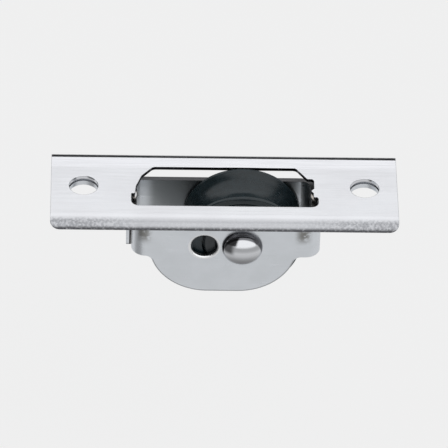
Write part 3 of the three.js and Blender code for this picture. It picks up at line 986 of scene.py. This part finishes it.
def makeFloor():
    reach = 4000
    drop = plateLow.z - studio["floorDrop"]
    corners = [(-reach, -reach, drop), (reach, -reach, drop), (reach, reach, drop), (-reach, reach, drop)]
    floor = newPiece("studio_floor", corners, [[0, 1, 2, 3]])
    material = bpy.data.materials.new("palePaper")
    material.use_nodes = True
    shader = material.node_tree.nodes["Principled BSDF"]
    shader.inputs["Base Color"].default_value = (0.06, 0.06, 0.06, 1)
    shader.inputs["Roughness"].default_value = 1.0
    shader.inputs["Specular IOR Level"].default_value = 0.0
    shader.inputs["Emission Color"].default_value = (1, 1, 1, 1)
    shader.inputs["Emission Strength"].default_value = 0.795
    side = add(material.node_tree, "ShaderNodeNewGeometry")  # the paper hides nothing from below
    clear = maths(material.node_tree, "SUBTRACT", 1.0, side.outputs["Backfacing"])
    join(material.node_tree, clear, shader.inputs["Alpha"])
    floor.data.materials.append(material)
    floor.visible_glossy = False  # metal shows the studio's cards, not the paper


cards = {  # angles in degrees: pitch goes from the front horizon up over the top, bearing to the right
    "overhead": (50, 58, 141, 144), "overheadGlow": 1.04, "dark": 0.035,
    "box": (-17, -3, 50, 56), "boxSides": (-27, -15, 55, 64), "boxGlow": 1.15,
    "rightWall": (50, 62, 110, 140), "wallHeights": (-12, -4, 24, 34), "rightGlow": 0.45,
    "aside": (156, 166), "asidePitch": (141, 144), "asideGlow": 0.62,
    "leftShade": (-105, -80, -45, -20), "leftHeights": (-54, -30), "leftGlow": 0.1, "shoreline": (-6, -1),
    "table": [(0, 0.24), (18, 0.30), (32, 0.46), (43, 0.64), (54, 0.70), (64, 0.50), (76, 0.46), (84, 0.66)],
}


def blendTo(tree, factor, first, second):
    mix = add(tree, "ShaderNodeMix", data_type="FLOAT")
    join(tree, factor, mix.inputs["Factor"])
    for label, value in (("A", first), ("B", second)):
        if isinstance(value, (int, float)):
            mix.inputs[label].default_value = value
        else:
            join(tree, value, mix.inputs[label])
    return mix.outputs["Result"]


def makeStudioLight():
    world = bpy.data.worlds.new("studio")
    bpy.context.scene.world = world
    world.use_nodes = True
    tree = world.node_tree
    shine = tree.nodes["Background"]
    shine.inputs["Color"].default_value = (0.99, 1.0, 1.015, 1)
    place = add(tree, "ShaderNodeTexCoord")
    way = add(tree, "ShaderNodeSeparateXYZ")
    join(tree, place.outputs["Generated"], way.inputs[0])
    forward = maths(tree, "MULTIPLY", way.outputs["Y"], -1.0)
    elevation = maths(tree, "DEGREES", maths(tree, "ARCSINE", way.outputs["Z"]))
    bearing = maths(tree, "DEGREES", maths(tree, "ARCTAN2", way.outputs["X"], forward))
    pitch = maths(tree, "DEGREES", maths(tree, "ARCTAN2", way.outputs["Z"], forward))
    box = times(tree, between(tree, pitch, cards["box"]), between(tree, bearing, cards["boxSides"]))
    wall = times(
        tree, between(tree, elevation, cards["wallHeights"]), between(tree, bearing, cards["rightWall"])
    )
    ramp = add(tree, "ShaderNodeValToRGB")  # the table, darker straight below and far off
    while len(ramp.color_ramp.elements) < len(cards["table"]):
        ramp.color_ramp.elements.new(0.5)
    for stop, (height, glow) in zip(ramp.color_ramp.elements, cards["table"]):
        stop.position = height / 90
        stop.color = (glow, glow, glow, 1)
    join(tree, fade(tree, elevation, -90, 0, easing="LINEAR"), ramp.inputs["Fac"])
    leftShade = times(
        tree, between(tree, bearing, cards["leftShade"]), fade(tree, elevation, *cards["leftHeights"])
    )
    table = blendTo(tree, leftShade, ramp.outputs["Color"], cards["leftGlow"])
    shoreline = fade(tree, elevation, *cards["shoreline"], 1.0, 0.0)
    aside = times(
        tree, fade(tree, unsigned(tree, bearing), *cards["aside"], 1.0, 0.0),
        fade(tree, pitch, *cards["asidePitch"]),
    )
    light = blendTo(tree, between(tree, pitch, cards["overhead"]), cards["dark"], cards["overheadGlow"])
    light = blendTo(tree, aside, light, cards["asideGlow"])
    light = blendTo(tree, wall, light, cards["rightGlow"])
    light = blendTo(tree, shoreline, light, table)
    light = blendTo(tree, box, light, cards["boxGlow"])
    seen = add(tree, "ShaderNodeLightPath")  # the open background is plain paper
    join(tree, blendTo(tree, seen.outputs["Is Camera Ray"], light, studio["paper"]), shine.inputs["Strength"])


def makeLamps():
    for name, spot, size, power in (
        ("keyLamp", (0.5, -0.5, 1.1), 0.9, 5.0),
        ("backLamp", (-0.7, 0.8, 0.9), 0.8, 3.5),
    ):
        lamp = bpy.data.lights.new(name, "AREA")
        lamp.shape = "DISK"
        lamp.size = size
        lamp.energy = power
        holder = bpy.data.objects.new(name, lamp)
        holder.location = spot
        holder.rotation_mode = "QUATERNION"
        holder.rotation_quaternion = (-Vector(spot)).to_track_quat("-Z", "Y")
        holder.visible_glossy = False
        bpy.context.scene.collection.objects.link(holder)


makeCamera()
makeFloor()
makeStudioLight()
makeLamps()
bpy.context.scene.view_settings.view_transform = "Standard"
print("studio set")
makeCover()
print("cover plate made")
makeSideplates()
print("sideplates made")
makeWelds()
makeSheave()
makeRetainers()
makeRace()
makeRivet()
print("turned pieces made")
makeBallRows()
print("ball rows made")
